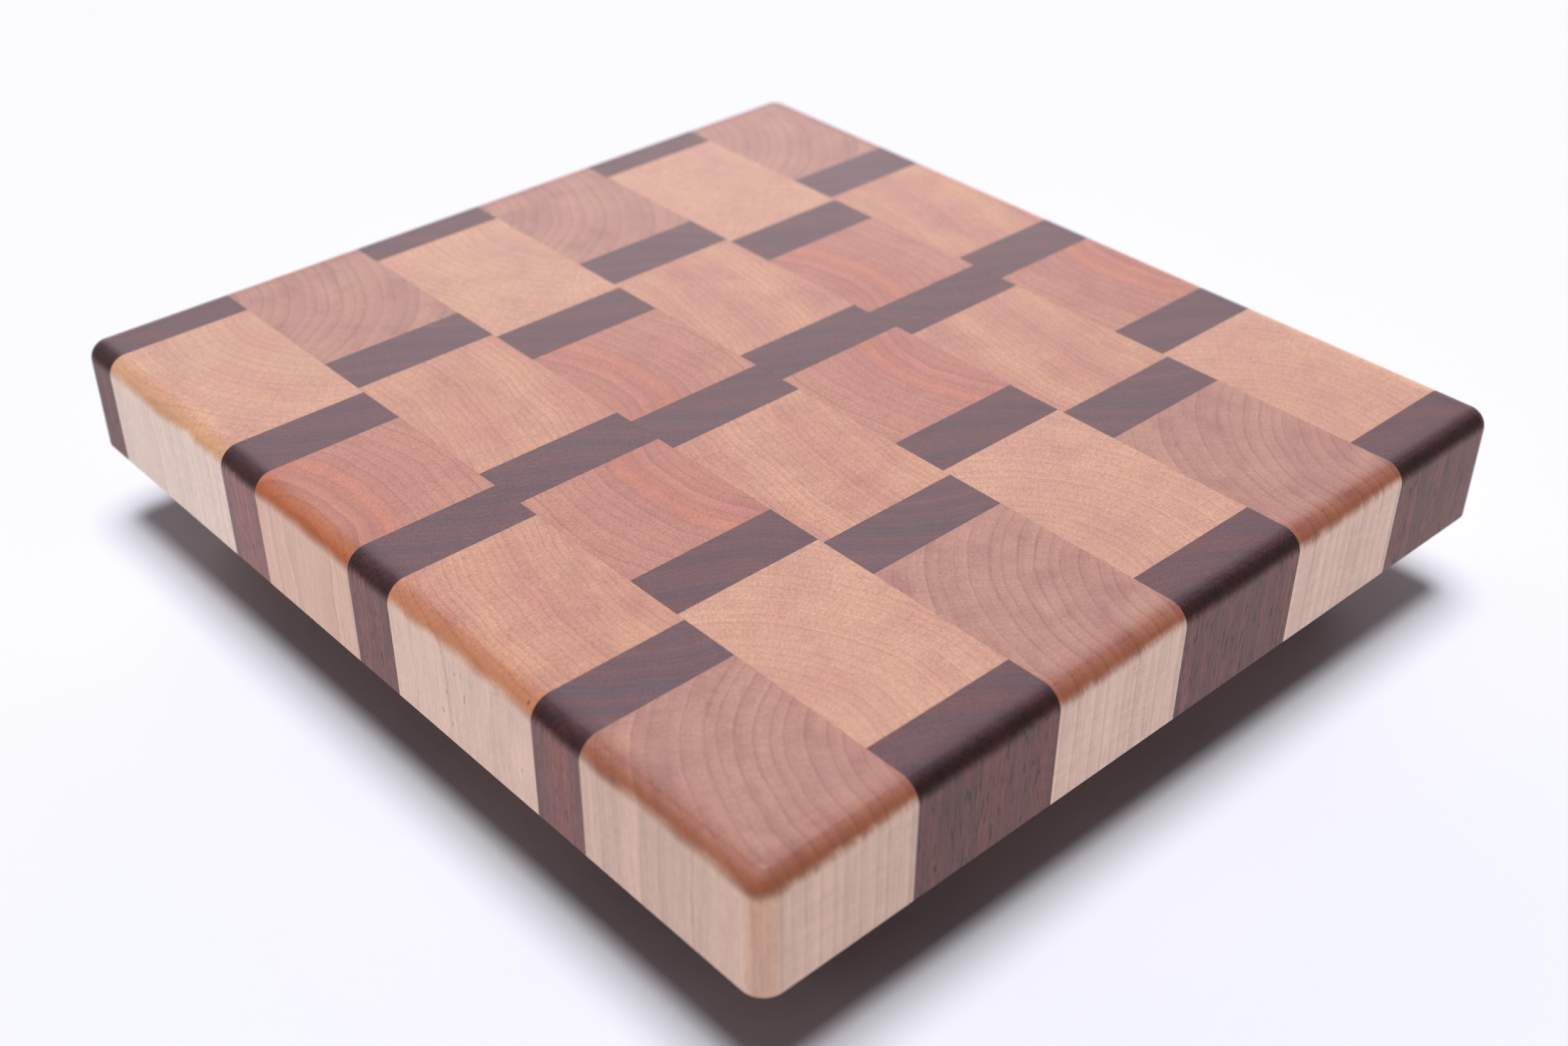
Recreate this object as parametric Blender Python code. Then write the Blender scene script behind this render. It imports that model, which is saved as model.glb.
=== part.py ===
"""End-grain butcher-block cutting board on four rubber feet.

Six strips lie side by side along X and are glued face to face.  Every strip is a
crosscut slice of one edge-glued panel (four maple and four walnut boards, 2 inches
thick), stood up so that its grain runs vertically.  The panel's thickness is the strip's
width along X, the length of the crosscut is the board's thickness, and each strip is
eight glued blocks in a row along Y.  Strips 2, 4 and 6 are turned end for end, which
gives the interrupted-bar pattern.  The top edge and the upright corners are rounded
over, the bottom arris is only eased.  Each turned foot is held by a pan-head screw and
a washer in a counterbore.

Frame: origin on the table plane under the middle of the board, +X across the strips,
+Y along the strips from front to back, +Z up.  Sizes are in millimetres, and MM turns
them into Blender's metres.
"""

import math
from itertools import accumulate

import bmesh
import bpy
from mathutils import Matrix, Vector

MM = 0.001

# Board
INNER_STRIP = 50.8            # thickness of the 2 inch panel the strips are cut from
OUTER_STRIP = 50.2            # the two outside strips lose a little when the edges are trued
STRIP_WIDTHS = (OUTER_STRIP, *[INNER_STRIP] * 4, OUTER_STRIP)
STRIP_SLIPS = (0.0, -0.3, 1.0, 0.5, 1.7, 0.5)   # how far each strip slid along Y in the clamps
PANEL = (                     # wood, width along Y; front to back in strips 1, 3 and 5
    ("maple_1", 66.3), ("walnut_1", 19.8),
    ("maple_2", 64.8), ("walnut_2", 20.0),
    ("maple_3", 50.0), ("walnut_3", 19.8),
    ("maple_4", 70.9), ("walnut_4", 18.5),
)
THICKNESS = 38.2              # 1 1/2 inch after flattening
EDGE_RADIUS = 6.35            # 1/4 inch round-over on the top edge
CORNER_RADIUS = 6.9           # upright corners
BOTTOM_EASE = 0.6             # sanded chamfer on the bottom arris
GLUE_LINE = 0.12              # film of glue between neighbouring blocks
TRIM_ALLOWANCE = 3.0          # outside blocks start this much oversize
ROUND_STEPS = 8               # facets in a quarter round
STAND_OFF = 30.0              # underside of the board above the table

BOARD_W = sum(STRIP_WIDTHS)
BOARD_L = sum(width for _, width in PANEL)
BOARD_BOTTOM = STAND_OFF
BOARD_TOP = STAND_OFF + THICKNESS

# Feet
SEAT_GAP = 0.3                # clearance where one piece rests on another
FOOT_INSET = 42.0             # foot centre from each edge of the board
FOOT_TOP_R, FOOT_BOTTOM_R = 18.0, 15.5
FOOT_TOP = STAND_OFF - SEAT_GAP
FOOT_LIP_R, FOOT_LIP_H = 18.8, 2.8
FOOT_LIP_FLARE_H = 0.6        # height of the slope from the taper out to the lip
FOOT_LIP_CHAMFER = 0.4
FOOT_ROUND = 1.6              # radius of the tread edge
FOOT_ROUND_STEPS = 5
FOOT_HOLE_R = 2.6
FOOT_STEPS = 32               # facets around a foot
COUNTERBORE_R, COUNTERBORE_H = 6.5, 14.0

# Fixings
FIXING_STEPS = 24             # facets around a washer, screw or pilot hole
WASHER_R, WASHER_HOLE_R, WASHER_T = 6.0, 2.4, 1.4
WASHER_CHAMFER = 0.2
WASHER_Z = COUNTERBORE_H - SEAT_GAP - WASHER_T
SCREW_R, SCREW_LENGTH, SCREW_TIP = 2.1, 32.0, 4.5
SCREW_Z = WASHER_Z - SEAT_GAP
HEAD_R, HEAD_H = 4.1, 3.0
HEAD_RIM_H = 0.9              # straight side of the head, before the dome
HEAD_DOME_STEPS = 5
RECESS_SPAN, RECESS_WIDTH, RECESS_DEPTH = 4.6, 1.1, 1.7
RECESS_FLOOR_SCALE = 0.62     # size of the cross at its floor, relative to its mouth
RECESS_OVERRUN = 0.8          # how far the recess cutter starts below the head
PILOT_R, PILOT_DEPTH = 2.3, 16.0
PILOT_OVERRUN = 4.0           # how far the pilot cutter starts below the board

# Materials: colour, roughness, metallic
WALNUT = ((0.07, 0.035, 0.025), 0.4, 0.0)
MATERIALS = {
    "maple_1": ((0.42, 0.17, 0.09), 0.42, 0.0),
    "maple_2": ((0.50, 0.24, 0.13), 0.42, 0.0),
    "maple_3": ((0.45, 0.17, 0.09), 0.42, 0.0),
    "maple_4": ((0.58, 0.32, 0.16), 0.42, 0.0),
    "walnut_1": WALNUT,
    "walnut_2": WALNUT,
    "walnut_3": WALNUT,
    "walnut_4": WALNUT,
    "rubber": ((0.02, 0.02, 0.02), 0.8, 0.0),
    "steel": ((0.55, 0.55, 0.56), 0.3, 1.0),
}


# Helpers

def clear_scene():
    for obj in list(bpy.data.objects):
        bpy.data.objects.remove(obj)


def make_material(name, colour, roughness, metallic):
    material = bpy.data.materials.new(name)
    material.use_nodes = True
    shader = material.node_tree.nodes["Principled BSDF"]
    shader.inputs["Base Color"].default_value = (*colour, 1.0)
    shader.inputs["Roughness"].default_value = roughness
    shader.inputs["Metallic"].default_value = metallic
    material.diffuse_color = (*colour, 1.0)
    return material


def mesh_from(name, bm, material=None, sharp=None):
    """Turns a bmesh into a mesh, shaded smooth up to the sharp angle in degrees if given."""
    bmesh.ops.recalc_face_normals(bm, faces=bm.faces)
    mesh = bpy.data.meshes.new(name)
    bm.to_mesh(mesh)
    bm.free()
    if sharp is not None:
        mesh.shade_smooth()
        mesh.set_sharp_from_angle(angle=math.radians(sharp))
    if material is not None:
        mesh.materials.append(material)
    return mesh


def add_object(name, mesh, location=(0, 0, 0), parent=None):
    """Links an object, or an empty if mesh is None, at a location in millimetres."""
    obj = bpy.data.objects.new(name, mesh)
    obj.location = Vector(location) * MM
    obj.parent = parent
    bpy.context.scene.collection.objects.link(obj)
    return obj


def add_cutter(name, bm, location=(0, 0, 0), parent=None):
    """An object used only by booleans, hidden from renders."""
    cutter = add_object(name, mesh_from(name, bm), location, parent)
    cutter.hide_render = True
    cutter.display_type = "WIRE"
    return cutter


def add_boolean(obj, name, operation, other):
    modifier = obj.modifiers.new(name, "BOOLEAN")
    modifier.operation = operation
    modifier.solver = "EXACT"
    modifier.object = other


def turned(profile, steps):
    """A closed (radius, height) outline spun about Z.  An edge along the axis is left out."""
    bm = bmesh.new()
    points = [bm.verts.new((radius * MM, 0.0, z * MM)) for radius, z in profile]
    edges = []
    for i in range(len(points)):
        j = (i + 1) % len(points)
        if profile[i][0] != 0 or profile[j][0] != 0:
            edges.append(bm.edges.new((points[i], points[j])))
    bmesh.ops.spin(
        bm, geom=points + edges, cent=(0, 0, 0), axis=(0, 0, 1),
        angle=math.tau, steps=steps, use_merge=True,
    )
    bmesh.ops.remove_doubles(bm, verts=bm.verts, dist=1e-6)
    return bm


def quarter_angles(steps):
    """Angles from 0 to 90 degrees, both included, in radians."""
    return [math.radians(90.0 * k / steps) for k in range(steps + 1)]


def skin_rings(bm, rings):
    """Joins closed loops of vertices, bottom to top, and caps both ends."""
    for lower, upper in zip(rings, rings[1:]):
        for i in range(len(lower)):
            j = (i + 1) % len(lower)
            bm.faces.new((lower[i], lower[j], upper[j], upper[i]))
    bm.faces.new(list(reversed(rings[0])))
    bm.faces.new(rings[-1])


def foot_places():
    x = BOARD_W / 2 - FOOT_INSET
    y = BOARD_L / 2 - FOOT_INSET
    return {
        "front_left": (-x, -y), "front_right": (x, -y),
        "back_left": (-x, y), "back_right": (x, y),
    }


# Board

def outline_ring(bm, inset, z):
    """One closed loop of the board's outline, pulled in by inset, at height z."""
    radius = CORNER_RADIUS - inset
    centre_x = BOARD_W / 2 - inset - radius
    centre_y = BOARD_L / 2 - inset - radius
    ring = []
    for side_x, side_y, start in ((1, 1, 0), (-1, 1, 90), (-1, -1, 180), (1, -1, 270)):
        for k in range(ROUND_STEPS + 1):
            angle = math.radians(start + 90.0 * k / ROUND_STEPS)
            ring.append(bm.verts.new((
                (side_x * centre_x + radius * math.cos(angle)) * MM,
                (side_y * centre_y + radius * math.sin(angle)) * MM,
                z * MM,
            )))
    return ring


def board_envelope():
    """The finished outer skin of the board, used to trim the blocks around its rim."""
    bm = bmesh.new()
    rings = [
        outline_ring(bm, BOTTOM_EASE, BOARD_BOTTOM),
        outline_ring(bm, 0.0, BOARD_BOTTOM + BOTTOM_EASE),
    ]
    for angle in quarter_angles(ROUND_STEPS):
        inset = EDGE_RADIUS * (1 - math.cos(angle))
        drop = EDGE_RADIUS * (1 - math.sin(angle))
        rings.append(outline_ring(bm, inset, BOARD_TOP - drop))
    skin_rings(bm, rings)
    return add_cutter("board_envelope", bm)


def pilot_cutter(place, x, y):
    """Pilot hole with a conical end, open at the underside of the board."""
    start = BOARD_BOTTOM - PILOT_OVERRUN
    end = BOARD_BOTTOM + PILOT_DEPTH
    profile = [(0, start), (PILOT_R, start), (PILOT_R, end - PILOT_R), (0, end)]
    return add_cutter("pilot_cutter_" + place, turned(profile, FIXING_STEPS), (x, y, 0))


def strip_blocks(strip):
    """Wood names and Y seams of one strip, front to back, counting strips from 0."""
    panel = PANEL if strip % 2 == 0 else PANEL[::-1]
    seams = list(accumulate((width for _, width in panel), initial=-BOARD_L / 2))
    slipped = [y + STRIP_SLIPS[strip] for y in seams[1:-1]]
    return [wood for wood, _ in panel], [-BOARD_L / 2, *slipped, BOARD_L / 2]


def block_span(seams, i):
    """Ends of block i: short of a seam by half the glue line, past an outside face."""
    half_glue = GLUE_LINE / 2
    low = seams[i] - TRIM_ALLOWANCE if i == 0 else seams[i] + half_glue
    is_last = i == len(seams) - 2
    high = seams[i + 1] + TRIM_ALLOWANCE if is_last else seams[i + 1] - half_glue
    return low, high


def build_block(name, material, x_span, y_span, is_outside, board):
    extra = TRIM_ALLOWANCE if is_outside else 0.0
    z_span = (BOARD_BOTTOM - extra, BOARD_TOP + extra)
    spans = (x_span, y_span, z_span)
    bm = bmesh.new()
    bmesh.ops.create_cube(bm, size=1.0)
    bmesh.ops.scale(bm, vec=[(high - low) * MM for low, high in spans], verts=bm.verts)
    middle = [(low + high) / 2 for low, high in spans]
    return add_object(name, mesh_from(name, bm, material), middle, board)


def build_blocks(materials, board):
    envelope = board_envelope()
    pilots = [
        (place, x, y, pilot_cutter(place, x, y)) for place, (x, y) in foot_places().items()
    ]
    strip_seams = list(accumulate(STRIP_WIDTHS, initial=-BOARD_W / 2))
    last_strip = len(STRIP_WIDTHS) - 1
    last_block = len(PANEL) - 1
    for strip in range(len(STRIP_WIDTHS)):
        x_span = block_span(strip_seams, strip)
        woods, block_seams = strip_blocks(strip)
        for k, wood in enumerate(woods):
            y_span = block_span(block_seams, k)
            is_outside = strip in (0, last_strip) or k in (0, last_block)
            name = f"strip_{strip + 1}_{wood}"
            block = build_block(name, materials[wood], x_span, y_span, is_outside, board)
            if is_outside:
                add_boolean(block, "trim_to_outline", "INTERSECT", envelope)
            for place, x, y, cutter in pilots:
                if x_span[0] < x < x_span[1] and y_span[0] < y < y_span[1]:
                    add_boolean(block, "pilot_hole_" + place, "DIFFERENCE", cutter)


# Feet and fixings

def foot_mesh(material):
    """Tapered rubber foot with a lip at the top, a rounded tread edge and a stepped bore."""
    tread_edge = [
        (FOOT_BOTTOM_R - FOOT_ROUND + FOOT_ROUND * math.sin(angle),
         FOOT_ROUND * (1 - math.cos(angle)))
        for angle in quarter_angles(FOOT_ROUND_STEPS)
    ]
    profile = [
        (COUNTERBORE_R, 0.0),
        *tread_edge,
        (FOOT_TOP_R, FOOT_TOP - FOOT_LIP_H - FOOT_LIP_FLARE_H),
        (FOOT_LIP_R, FOOT_TOP - FOOT_LIP_H),
        (FOOT_LIP_R, FOOT_TOP - FOOT_LIP_CHAMFER),
        (FOOT_LIP_R - FOOT_LIP_CHAMFER, FOOT_TOP),
        (FOOT_HOLE_R, FOOT_TOP),
        (FOOT_HOLE_R, COUNTERBORE_H),
        (COUNTERBORE_R, COUNTERBORE_H),
    ]
    return mesh_from("foot_shape", turned(profile, FOOT_STEPS), material, sharp=35)


def washer_mesh(material):
    """Flat washer with both outer edges chamfered."""
    profile = [
        (WASHER_HOLE_R, 0.0),
        (WASHER_R - WASHER_CHAMFER, 0.0),
        (WASHER_R, WASHER_CHAMFER),
        (WASHER_R, WASHER_T - WASHER_CHAMFER),
        (WASHER_R - WASHER_CHAMFER, WASHER_T),
        (WASHER_HOLE_R, WASHER_T),
    ]
    return mesh_from("washer_shape", turned(profile, FIXING_STEPS), material, sharp=40)


def screw_mesh(name, material):
    """Pan-head screw, point up.  Its origin is the middle of the bearing face of the head."""
    dome = [
        (HEAD_R * math.cos(angle), -HEAD_RIM_H - (HEAD_H - HEAD_RIM_H) * math.sin(angle))
        for angle in quarter_angles(HEAD_DOME_STEPS)[:-1]
    ]
    profile = [
        (0, -HEAD_H),
        *reversed(dome),
        (HEAD_R, 0.0),
        (SCREW_R, 0.0),
        (SCREW_R, SCREW_LENGTH - SCREW_TIP),
        (0, SCREW_LENGTH),
    ]
    return mesh_from(name, turned(profile, FIXING_STEPS), material, sharp=35)


def recess_bmesh():
    """Cross-shaped driver recess, narrowing from its mouth up to its floor."""
    half_width = RECESS_WIDTH / 2
    reach = RECESS_SPAN / 2
    arm = ((half_width, half_width), (reach, half_width), (reach, -half_width))
    outline = []
    for quarter_turn in range(4):
        turn = Matrix.Rotation(math.radians(90 * quarter_turn), 3, "Z")
        outline += [turn @ Vector((x, y, 0)) for x, y in arm]
    outline.sort(key=lambda point: math.atan2(point.y, point.x))

    bm = bmesh.new()
    levels = (
        (1.0, -HEAD_H - RECESS_OVERRUN),
        (RECESS_FLOOR_SCALE, -HEAD_H + RECESS_DEPTH),
    )
    rings = [
        [bm.verts.new(Vector((p.x * scale, p.y * scale, z)) * MM) for p in outline]
        for scale, z in levels
    ]
    skin_rings(bm, rings)
    return bm


def build_feet(materials, board):
    foot_shape = foot_mesh(materials["rubber"])
    washer_shape = washer_mesh(materials["steel"])
    for place, (x, y) in foot_places().items():
        add_object("foot_" + place, foot_shape, (x, y, 0), board)
        add_object("washer_" + place, washer_shape, (x, y, WASHER_Z), board)
        head = (x, y, SCREW_Z)
        recess = add_cutter("recess_cutter_" + place, recess_bmesh(), head, board)
        name = "screw_" + place
        screw = add_object(name, screw_mesh(name, materials["steel"]), head, board)
        add_boolean(screw, "cross_recess", "DIFFERENCE", recess)


def main():
    clear_scene()
    materials = {
        name: make_material(name, colour=colour, roughness=roughness, metallic=metallic)
        for name, (colour, roughness, metallic) in MATERIALS.items()
    }
    board = add_object("cutting_board", None)
    build_blocks(materials, board)
    build_feet(materials, board)


main()
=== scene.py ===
# An end-grain chopping board: six strips side by side along X, each of eight maple and walnut
# blocks in a row along Y, with the grain upright along Z.  The board is centred on the origin
# and stands at z = 0 on four rubber feet, each held by a washer and a screw from below.
import math
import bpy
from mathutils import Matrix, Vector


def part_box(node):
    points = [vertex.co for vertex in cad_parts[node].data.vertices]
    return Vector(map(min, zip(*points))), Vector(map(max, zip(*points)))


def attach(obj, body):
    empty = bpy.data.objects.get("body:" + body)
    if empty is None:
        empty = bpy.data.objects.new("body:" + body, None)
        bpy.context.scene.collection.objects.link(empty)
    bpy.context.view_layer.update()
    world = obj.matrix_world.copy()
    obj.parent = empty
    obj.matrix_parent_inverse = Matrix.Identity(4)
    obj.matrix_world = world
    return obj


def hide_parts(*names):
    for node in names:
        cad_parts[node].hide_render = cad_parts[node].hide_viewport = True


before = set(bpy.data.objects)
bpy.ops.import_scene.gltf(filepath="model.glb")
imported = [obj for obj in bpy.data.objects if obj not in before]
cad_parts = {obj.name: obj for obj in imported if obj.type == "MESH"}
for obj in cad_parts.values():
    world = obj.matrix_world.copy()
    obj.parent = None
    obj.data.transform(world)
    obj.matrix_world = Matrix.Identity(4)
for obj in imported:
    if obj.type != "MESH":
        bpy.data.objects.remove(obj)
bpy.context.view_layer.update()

from types import SimpleNamespace

import bmesh
import bpy
import numpy as np
from mathutils import Matrix, Vector

MM = 0.001

# ------------------------------------------------------------------------------------
# Board dimensions
# ------------------------------------------------------------------------------------
WOODS = [f"{kind}_{number}" for number in range(1, 5) for kind in ("maple", "walnut")]
STRIPS = 6
BOXES = {(strip, wood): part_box(f"strip_{strip}_{wood}")
         for strip in range(1, STRIPS + 1) for wood in WOODS}
BOARD_LO = Vector([min(box[0][axis] for box in BOXES.values()) for axis in range(3)])
BOARD_HI = Vector([max(box[1][axis] for box in BOXES.values()) for axis in range(3)])
HALF_X = (BOARD_HI.x - BOARD_LO.x) / 2
HALF_Y = (BOARD_HI.y - BOARD_LO.y) / 2
TOP, BOTTOM = BOARD_HI.z, BOARD_LO.z
EDGE_R = 6.35 * MM            # round-over along the top edge
CORNER_R = 6.9 * MM           # upright corners
EASE = 0.6 * MM               # bottom arris
QUARTER_STEPS = 20            # facets in a quarter round of the skin
ARRIS_STEPS = 4
PANEL_T = 50.8 * MM           # full width of an inner strip
SLICE_STEP = 41.4 * MM        # distance along the plank from one strip's slice to the next
SEAM = 0.03 * MM              # visible width of a glue line
CAD_SEAM = 0.12 * MM          # gap between the CAD blocks
OVERSIZE = 3 * MM             # how far an outer block stands proud before it is trimmed
TOUCH = 1e-5                  # a block this close to the board's side is an outer one
PILOT_R = 2.3 * MM            # screw hole
PLACES = ("front_left", "front_right", "back_left", "back_right")


# ------------------------------------------------------------------------------------
# Mesh helpers
# ------------------------------------------------------------------------------------
def link(obj):
    bpy.context.scene.collection.objects.link(obj)
    return obj


def mesh_object(name, bm):
    """Turn a bmesh into a linked object and free it."""
    mesh = bpy.data.meshes.new(name)
    bm.to_mesh(mesh)
    bm.free()
    return link(bpy.data.objects.new(name, mesh))


def join_rings(bm, rings):
    """Wall between successive rings of vertices, and a cap on each end."""
    for low, high in zip(rings, rings[1:]):
        for i in range(len(low)):
            j = (i + 1) % len(low)
            bm.faces.new((low[i], low[j], high[j], high[i]))
    bm.faces.new(list(reversed(rings[0])))
    bm.faces.new(rings[-1])
    bmesh.ops.recalc_face_normals(bm, faces=bm.faces)


def box_object(name, low, high):
    bm = bmesh.new()
    bmesh.ops.create_cube(bm, size=1.0)
    for vert in bm.verts:
        vert.co = Vector([low[axis] + (high[axis] - low[axis]) * (vert.co[axis] + 0.5)
                          for axis in range(3)])
    return mesh_object(name, bm)


def spun(name, profile, steps, centre):
    """A closed (radius, height) outline turned about an upright axis through centre (x, y)."""
    bm = bmesh.new()
    rings = []
    for radius, z in profile:
        if radius < 1e-9:
            rings.append([bm.verts.new((0, 0, z))])
            continue
        angles = [math.tau * k / steps for k in range(steps)]
        rings.append([bm.verts.new((radius * math.cos(angle), radius * math.sin(angle), z))
                      for angle in angles])
    for a, b in zip(rings, rings[1:] + rings[:1]):
        for k in range(steps):
            j = (k + 1) % steps
            face = [a[k % len(a)], a[j % len(a)], b[j % len(b)], b[k % len(b)]]
            # a ring on the axis is a single vertex, so the face there is a triangle
            face = [vert for i, vert in enumerate(face) if vert not in face[:i]]
            if len(face) > 2:
                bm.faces.new(face)
    bmesh.ops.recalc_face_normals(bm, faces=bm.faces)
    bmesh.ops.translate(bm, verts=bm.verts, vec=(*centre, 0))
    return mesh_object(name, bm)


def arc(centre_r, centre_z, radius, start, end, steps):
    """Profile points along an arc, from start to end in degrees."""
    angles = [math.radians(start + (end - start) * k / steps) for k in range(steps + 1)]
    return [(centre_r + radius * math.cos(angle), centre_z + radius * math.sin(angle))
            for angle in angles]


def boolean(obj, operation, other):
    modifier = obj.modifiers.new(operation.lower(), "BOOLEAN")
    modifier.operation = operation
    modifier.solver = "EXACT"
    modifier.object = other


def bake_modifiers(obj):
    graph = bpy.context.evaluated_depsgraph_get()
    mesh = bpy.data.meshes.new_from_object(obj.evaluated_get(graph))
    obj.modifiers.clear()
    obj.data = mesh


def smooth(obj, angle):
    obj.data.shade_smooth()
    obj.data.set_sharp_from_angle(angle=math.radians(angle))


def round_part(name):
    """Axis (x, y), radius, bottom and top of a round CAD piece."""
    low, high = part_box(name)
    axis = ((low.x + high.x) / 2, (low.y + high.y) / 2)
    return axis, (high.x - low.x) / 2, low.z, high.z


def register(obj, part, material):
    """Give the object its material and let it stand in for a CAD piece."""
    obj.data.materials.clear()
    obj.data.materials.append(MATERIALS[material])
    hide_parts(part)
    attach(obj, "root")


# ------------------------------------------------------------------------------------
# Shader helpers
# ------------------------------------------------------------------------------------
class Value:
    """A node's output.  Arithmetic on it adds Math nodes to its graph."""

    def __init__(self, graph, socket):
        self.graph = graph
        self.socket = socket

    def __add__(self, other):
        return self.graph.math("ADD", self, other)

    def __radd__(self, other):
        return self.graph.math("ADD", other, self)

    def __sub__(self, other):
        return self.graph.math("SUBTRACT", self, other)

    def __rsub__(self, other):
        return self.graph.math("SUBTRACT", other, self)

    def __mul__(self, other):
        return self.graph.math("MULTIPLY", self, other)

    def __abs__(self):
        return self.graph.math("ABSOLUTE", self)

    def linear(self, slope, start):
        """self * slope + start"""
        return self.graph.math("MULTIPLY_ADD", self, slope, start)

    def centred(self, amount):
        """Spread 0..1 over -amount..amount."""
        return self.linear(slope=2.0 * amount, start=-amount)


class Graph:
    """Writes shader nodes as expressions of numbers, tuples, sockets and Values."""

    def __init__(self, tree):
        self.tree = tree
        tree.nodes.clear()

    def put(self, socket, value):
        value = getattr(value, "socket", value)
        if isinstance(value, bpy.types.NodeSocket):
            self.tree.links.new(value, socket)
        elif value is not None:
            if isinstance(value, tuple) and len(value) == 3 and len(socket.default_value) == 4:
                value = (*value, 1.0)
            socket.default_value = value

    def node(self, kind, inputs=(), **settings):
        """Add a node.  Inputs are a tuple in socket order, or a dict by socket name or index."""
        node = self.tree.nodes.new("ShaderNode" + kind)
        for key, value in settings.items():
            setattr(node, key, value)
        pairs = inputs.items() if isinstance(inputs, dict) else enumerate(inputs)
        for key, value in pairs:
            self.put(node.inputs[key], value)
        return node

    def value(self, kind, inputs=(), output=0, **settings):
        return Value(self, self.node(kind, inputs, **settings).outputs[output])

    def math(self, operation, a, b=None, c=None, clamp=False):
        return self.value("Math", (a, b, c), operation=operation, use_clamp=clamp)

    def vec(self, x, y, z):
        return self.value("CombineXYZ", (x, y, z))

    def parts(self, vector):
        return [Value(self, s) for s in self.node("SeparateXYZ", (vector,)).outputs]

    def channels(self, colour):
        return [Value(self, s) for s in self.node("SeparateColor", (colour,)).outputs]

    def times(self, vector, factors):
        """Component by component product."""
        return self.value("VectorMath", (vector, factors), operation="MULTIPLY")

    def lighten(self, colour, factor):
        """Colour times a number."""
        return self.value("VectorMath", {0: colour, "Scale": factor}, operation="SCALE")

    def dot(self, a, b):
        return self.value("VectorMath", (a, b), output="Value", operation="DOT_PRODUCT")

    def position_mm(self):
        position = self.node("NewGeometry").outputs["Position"]
        return self.times(position, (1000.0, 1000.0, 1000.0))

    def noise(self, vector, scale, detail=2.0, rough=0.5, distortion=0.0, output="Fac"):
        inputs = {"Vector": vector, "Scale": scale, "Detail": detail, "Roughness": rough,
                  "Distortion": distortion}
        return self.value("TexNoise", inputs, output, noise_dimensions="3D")

    def grain(self, axes, along, **settings):
        """Noise in (x, y, z) that is drawn out along the grain; along multiplies z."""
        x, y, z = axes
        return self.noise(self.vec(x, y, z * along), **settings)

    def noise1(self, position, scale, detail=1.0):
        inputs = {"W": position, "Scale": scale, "Detail": detail}
        return self.value("TexNoise", inputs, "Fac", noise_dimensions="1D")

    def random1(self, seed):
        return self.value("TexWhiteNoise", {"W": seed}, "Value", noise_dimensions="1D")

    def step(self, value, off, on, low=0.0, high=1.0, kind="SMOOTHSTEP"):
        """low where value is at off, high where it is at on, a smooth passage between."""
        return self.value("MapRange", (value, off, on, low, high),
                          interpolation_type=kind, clamp=True)

    def mix(self, factor, a, b, blend="MIX"):
        # sockets 0, 6 and 7 are the factor and the two colours, output 2 the colour
        return self.value("Mix", {0: factor, 6: a, 7: b}, output=2,
                          data_type="RGBA", blend_type=blend, clamp_factor=True)

    def stain(self, colour, amount, tint):
        """Multiply the colour by a tint, as far as amount says."""
        return self.mix(amount, colour, self.times(colour, tint))

    def ramp(self, factor, stops, interpolation="LINEAR"):
        node = self.node("ValToRGB")
        node.color_ramp.interpolation = interpolation
        elements = node.color_ramp.elements
        while len(elements) < len(stops):
            elements.new(0.5)
        for element, (position, colour) in zip(elements, stops):
            element.position = position
            element.color = (*colour, 1.0)
        self.put(node.inputs[0], factor)
        return Value(self, node.outputs[0])

    def bump(self, height, distance, strength):
        return self.value("Bump", {"Strength": strength, "Distance": distance,
                                   "Height": height})

    def surface(self, colour, roughness, normal=None, **more):
        """Principled surface; more holds further inputs, with _ for a space."""
        inputs = {"Base Color": colour, "Roughness": roughness, "Normal": normal}
        inputs.update({key.replace("_", " "): value for key, value in more.items()})
        shader = self.node("BsdfPrincipled", inputs)
        self.node("OutputMaterial", (shader.outputs[0],))


def new_material(name):
    material = bpy.data.materials.new(name)
    material.use_nodes = True
    return material, Graph(material.node_tree)


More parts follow.
